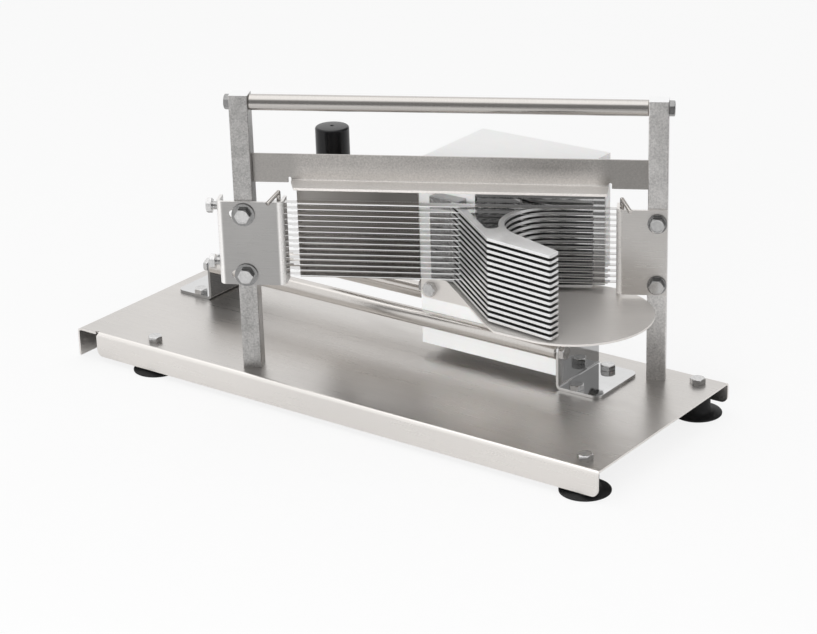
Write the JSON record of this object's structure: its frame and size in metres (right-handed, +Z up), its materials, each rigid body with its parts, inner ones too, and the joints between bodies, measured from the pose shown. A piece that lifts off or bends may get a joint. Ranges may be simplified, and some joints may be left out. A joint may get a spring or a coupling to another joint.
{
  "type": "tomato slicer",
  "caption": "Hand-pushed tomato slicer: a finned pusher on a carriage runs on two guide rods and drives the fruit through a slanted stack of blades on a base with suction feet.",
  "frame": {"origin": "middle of the bounding box on the table plane under the suction feet", "axes": "+X along the base and the guide rods, the way the carriage pushes; +Y from the front edge to the back edge; +Z up"},
  "size_m": [0.615, 0.2515, 0.3015],
  "materials": {
    "rubber": "matt black moulded rubber",
    "blade_steel": "ground and polished blade steel",
    "fastener_steel": "plain stainless fasteners",
    "post_steel": "glass-bead blasted stainless bar",
    "polished_steel": "mirror-polished stainless sheet",
    "rod_steel": "ground and polished stainless rod",
    "sheet_steel": "brushed stainless sheet",
    "white_plastic": "machined white polyethylene",
    "comb_aluminium": "satin machined aluminium",
    "black_plastic": "black moulded plastic, satin"
  },
  "bodies": {
    "frame": {"base_plate": "sheet_steel", "foot_front_left": "rubber", "foot_rear_left": "rubber", "foot_front_right": "rubber", "foot_rear_right": "rubber", "foot_bolts": "fastener_steel", "post_left": "post_steel", "post_right": "post_steel", "post_bolts": "fastener_steel", "top_rod": "rod_steel", "top_rod_bolts": "fastener_steel", "cross_plate": "sheet_steel", "blade_01": "blade_steel", "blade_02": "blade_steel", "blade_03": "blade_steel", "blade_04": "blade_steel", "blade_05": "blade_steel", "blade_06": "blade_steel", "blade_07": "blade_steel", "blade_08": "blade_steel", "blade_09": "blade_steel", "blade_10": "blade_steel", "blade_11": "blade_steel", "blade_12": "blade_steel", "blade_13": "blade_steel", "blade_14": "blade_steel", "blade_pin_left": "rod_steel", "blade_pin_right": "rod_steel", "holder_left": "sheet_steel", "holder_right": "sheet_steel", "holder_washers": "fastener_steel", "holder_bolts_left": "fastener_steel", "holder_bolts_right": "fastener_steel", "tension_bolts": "fastener_steel", "bracket_left_plate": "polished_steel", "bracket_right_plate": "polished_steel", "bracket_bolts_set": "fastener_steel", "bracket_nuts": "fastener_steel", "guide_rod_front": "rod_steel", "guide_rod_rear": "rod_steel", "rod_end_bolts": "fastener_steel"},
    "carriage": {"carriage_block": "white_plastic", "carriage_cover": "white_plastic", "cover_bolts_set": "fastener_steel", "back_sheet": "polished_steel", "pusher_comb": "comb_aluminium", "comb_bolts_set": "fastener_steel", "tray": "sheet_steel", "tray_bolts_set": "fastener_steel", "handle_arm": "sheet_steel", "handle_bolts_set": "fastener_steel", "grip": "black_plastic", "grip_bolt": "fastener_steel", "hand_guard": "sheet_steel", "guard_bolts_set": "fastener_steel"}
  },
  "joints": [
    {"name": "carriage_slide", "type": "slide", "parent": "frame", "child": "carriage", "axis": [1, 0, 0], "range_m": [-0.25, 0]}
  ]
}
